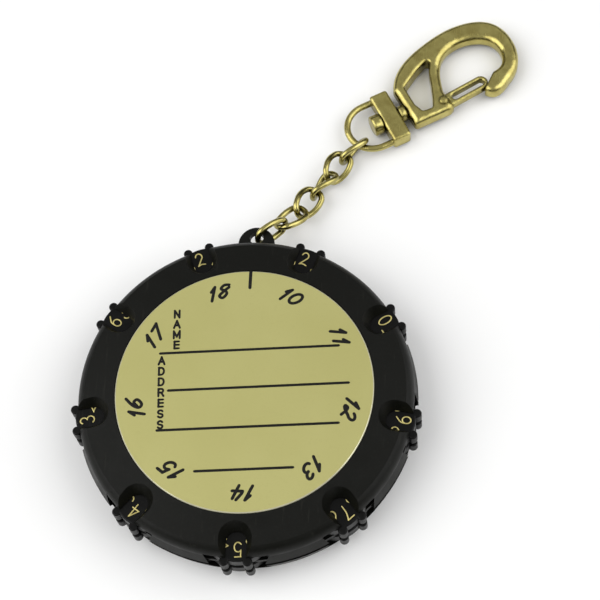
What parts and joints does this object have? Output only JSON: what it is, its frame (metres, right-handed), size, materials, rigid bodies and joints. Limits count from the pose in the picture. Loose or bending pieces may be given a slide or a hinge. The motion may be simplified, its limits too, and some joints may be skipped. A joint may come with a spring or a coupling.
{
  "type": "row counter",
  "caption": "Flat round counter with lobed digit wheels round its rim on both faces, on a short chain with a swivel snap hook.",
  "frame": {"origin": "centre of the rear label's outer face, which is what the counter lies on", "axes": "+Z out of the front face, +Y from the centre towards the hanging lug, +X to the right as the front face is read"},
  "size_m": [0.0877, 0.1246, 0.0128],
  "materials": {
    "case_black": "satin moulded black",
    "wheel_black": "satin moulded black",
    "label_gold": "pale gold lacquered sheet",
    "hook_brass": "cast and barrel-polished",
    "chain_brass": "bright drawn wire",
    "rivet_brass": "plain",
    "detent_white": "natural acetal",
    "steel": "drawn wire"
  },
  "bodies": {
    "case": {"front_shell": "case_black", "rear_shell": "case_black", "middle_plate": "case_black", "front_label": "label_gold", "rear_label": "label_gold", "axle_pins": "steel", "centre_rivet": "rivet_brass", "front_detent_ring": "detent_white", "rear_detent_ring": "detent_white"},
    "wheel_01": {"counter_wheel_01": "wheel_black"},
    "wheel_02": {"counter_wheel_02": "wheel_black"},
    "wheel_03": {"counter_wheel_03": "wheel_black"},
    "wheel_04": {"counter_wheel_04": "wheel_black"},
    "wheel_05": {"counter_wheel_05": "wheel_black"},
    "wheel_06": {"counter_wheel_06": "wheel_black"},
    "wheel_07": {"counter_wheel_07": "wheel_black"},
    "wheel_08": {"counter_wheel_08": "wheel_black"},
    "wheel_09": {"counter_wheel_09": "wheel_black"},
    "wheel_10": {"counter_wheel_10": "wheel_black"},
    "wheel_11": {"counter_wheel_11": "wheel_black"},
    "wheel_12": {"counter_wheel_12": "wheel_black"},
    "wheel_13": {"counter_wheel_13": "wheel_black"},
    "wheel_14": {"counter_wheel_14": "wheel_black"},
    "wheel_15": {"counter_wheel_15": "wheel_black"},
    "wheel_16": {"counter_wheel_16": "wheel_black"},
    "wheel_17": {"counter_wheel_17": "wheel_black"},
    "wheel_18": {"counter_wheel_18": "wheel_black"},
    "link_1": {"chain_link_1": "chain_brass"},
    "link_2": {"chain_link_2": "chain_brass"},
    "link_3": {"chain_link_3": "chain_brass"},
    "link_4": {"chain_link_4": "chain_brass"},
    "link_5": {"chain_link_5": "chain_brass"},
    "link_6": {"chain_link_6": "chain_brass"},
    "eye": {"swivel_eye": "hook_brass"},
    "hook": {"hook_body": "hook_brass", "swivel_stud": "hook_brass", "gate_pin": "hook_brass", "gate_spring": "steel"},
    "gate_lever": {"gate": "hook_brass"}
  },
  "joints": [
    {"name": "count_01", "type": "hinge", "parent": "case", "child": "wheel_01", "pos_m": [-0.009, 0.02471, 0.0044], "axis": [0, 0, -1], "continuous": true, "deforming": ["rear_detent_ring"]},
    {"name": "count_02", "type": "hinge", "parent": "case", "child": "wheel_02", "pos_m": [-0.02278, 0.01315, 0.0044], "axis": [0, 0, -1], "continuous": true, "deforming": ["rear_detent_ring"]},
    {"name": "count_03", "type": "hinge", "parent": "case", "child": "wheel_03", "pos_m": [-0.0259, -0.00457, 0.0044], "axis": [0, 0, -1], "continuous": true, "deforming": ["rear_detent_ring"]},
    {"name": "count_04", "type": "hinge", "parent": "case", "child": "wheel_04", "pos_m": [-0.01691, -0.02015, 0.0044], "axis": [0, 0, -1], "continuous": true, "deforming": ["rear_detent_ring"]},
    {"name": "count_05", "type": "hinge", "parent": "case", "child": "wheel_05", "pos_m": [0, -0.0263, 0.0044], "axis": [0, 0, -1], "continuous": true, "deforming": ["rear_detent_ring"]},
    {"name": "count_06", "type": "hinge", "parent": "case", "child": "wheel_06", "pos_m": [0.01691, -0.02015, 0.0044], "axis": [0, 0, -1], "continuous": true, "deforming": ["rear_detent_ring"]},
    {"name": "count_07", "type": "hinge", "parent": "case", "child": "wheel_07", "pos_m": [0.0259, -0.00457, 0.0044], "axis": [0, 0, -1], "continuous": true, "deforming": ["rear_detent_ring"]},
    {"name": "count_08", "type": "hinge", "parent": "case", "child": "wheel_08", "pos_m": [0.02278, 0.01315, 0.0044], "axis": [0, 0, -1], "continuous": true, "deforming": ["rear_detent_ring"]},
    {"name": "count_09", "type": "hinge", "parent": "case", "child": "wheel_09", "pos_m": [0.009, 0.02471, 0.0044], "axis": [0, 0, -1], "continuous": true, "deforming": ["rear_detent_ring"]},
    {"name": "count_10", "type": "hinge", "parent": "case", "child": "wheel_10", "pos_m": [0.009, 0.02471, 0.0084], "axis": [0, 0, 1], "continuous": true, "deforming": ["front_detent_ring"]},
    {"name": "count_11", "type": "hinge", "parent": "case", "child": "wheel_11", "pos_m": [0.02278, 0.01315, 0.0084], "axis": [0, 0, 1], "continuous": true, "deforming": ["front_detent_ring"]},
    {"name": "count_12", "type": "hinge", "parent": "case", "child": "wheel_12", "pos_m": [0.0259, -0.00457, 0.0084], "axis": [0, 0, 1], "continuous": true, "deforming": ["front_detent_ring"]},
    {"name": "count_13", "type": "hinge", "parent": "case", "child": "wheel_13", "pos_m": [0.01691, -0.02015, 0.0084], "axis": [0, 0, 1], "continuous": true, "deforming": ["front_detent_ring"]},
    {"name": "count_14", "type": "hinge", "parent": "case", "child": "wheel_14", "pos_m": [0, -0.0263, 0.0084], "axis": [0, 0, 1], "continuous": true, "deforming": ["front_detent_ring"]},
    {"name": "count_15", "type": "hinge", "parent": "case", "child": "wheel_15", "pos_m": [-0.01691, -0.02015, 0.0084], "axis": [0, 0, 1], "continuous": true, "deforming": ["front_detent_ring"]},
    {"name": "count_16", "type": "hinge", "parent": "case", "child": "wheel_16", "pos_m": [-0.0259, -0.00457, 0.0084], "axis": [0, 0, 1], "continuous": true, "deforming": ["front_detent_ring"]},
    {"name": "count_17", "type": "hinge", "parent": "case", "child": "wheel_17", "pos_m": [-0.02278, 0.01315, 0.0084], "axis": [0, 0, 1], "continuous": true, "deforming": ["front_detent_ring"]},
    {"name": "count_18", "type": "hinge", "parent": "case", "child": "wheel_18", "pos_m": [-0.009, 0.02471, 0.0084], "axis": [0, 0, 1], "continuous": true, "deforming": ["front_detent_ring"]},
    {"name": "lug_swing", "type": "hinge", "parent": "case", "child": "link_1", "pos_m": [0.00016, 0.03533, 0.0064], "axis": [0, 0, 1], "range_deg": [-25, 70]},
    {"name": "link_2_bend", "type": "hinge", "parent": "link_1", "child": "link_2", "pos_m": [0.00551, 0.03966, 0.00519], "axis": [-0.0236, -0.2426, -0.9698], "range_deg": [-45, 18]},
    {"name": "link_3_bend", "type": "hinge", "parent": "link_2", "child": "link_3", "pos_m": [0.00888, 0.04361, 0.00378], "axis": [-0.6663, 0.4087, -0.6237], "range_deg": [-50, 50]},
    {"name": "link_4_bend", "type": "hinge", "parent": "link_3", "child": "link_4", "pos_m": [0.01157, 0.04826, 0.0032], "axis": [-0.6529, 0.5168, 0.5538], "range_deg": [-50, 50]},
    {"name": "link_5_bend", "type": "hinge", "parent": "link_4", "child": "link_5", "pos_m": [0.01469, 0.05261, 0.00294], "axis": [-0.468, 0.2555, -0.846], "range_deg": [-50, 50]},
    {"name": "link_6_bend", "type": "hinge", "parent": "link_5", "child": "link_6", "pos_m": [0.01725, 0.05733, 0.00269], "axis": [-0.7369, 0.4557, 0.4993], "range_deg": [-50, 50]},
    {"name": "eye_bend", "type": "hinge", "parent": "link_6", "child": "eye", "pos_m": [0.02056, 0.05962, 0.0023], "axis": [0.9105, -0.4136, 0], "range_deg": [-30, 75]},
    {"name": "hook_swivel", "type": "hinge", "parent": "eye", "child": "hook", "pos_m": [0.02958, 0.06805, 0.0023], "axis": [0.8898, 0.4563, 0], "continuous": true},
    {"name": "gate_swing", "type": "hinge", "parent": "hook", "child": "gate_lever", "pos_m": [0.03779, 0.07001, 0.0023], "axis": [0, 0, 1], "range_deg": [0, 25], "stiffness_Nm_per_rad": 0.01, "springref_deg": -20.05}
  ]
}
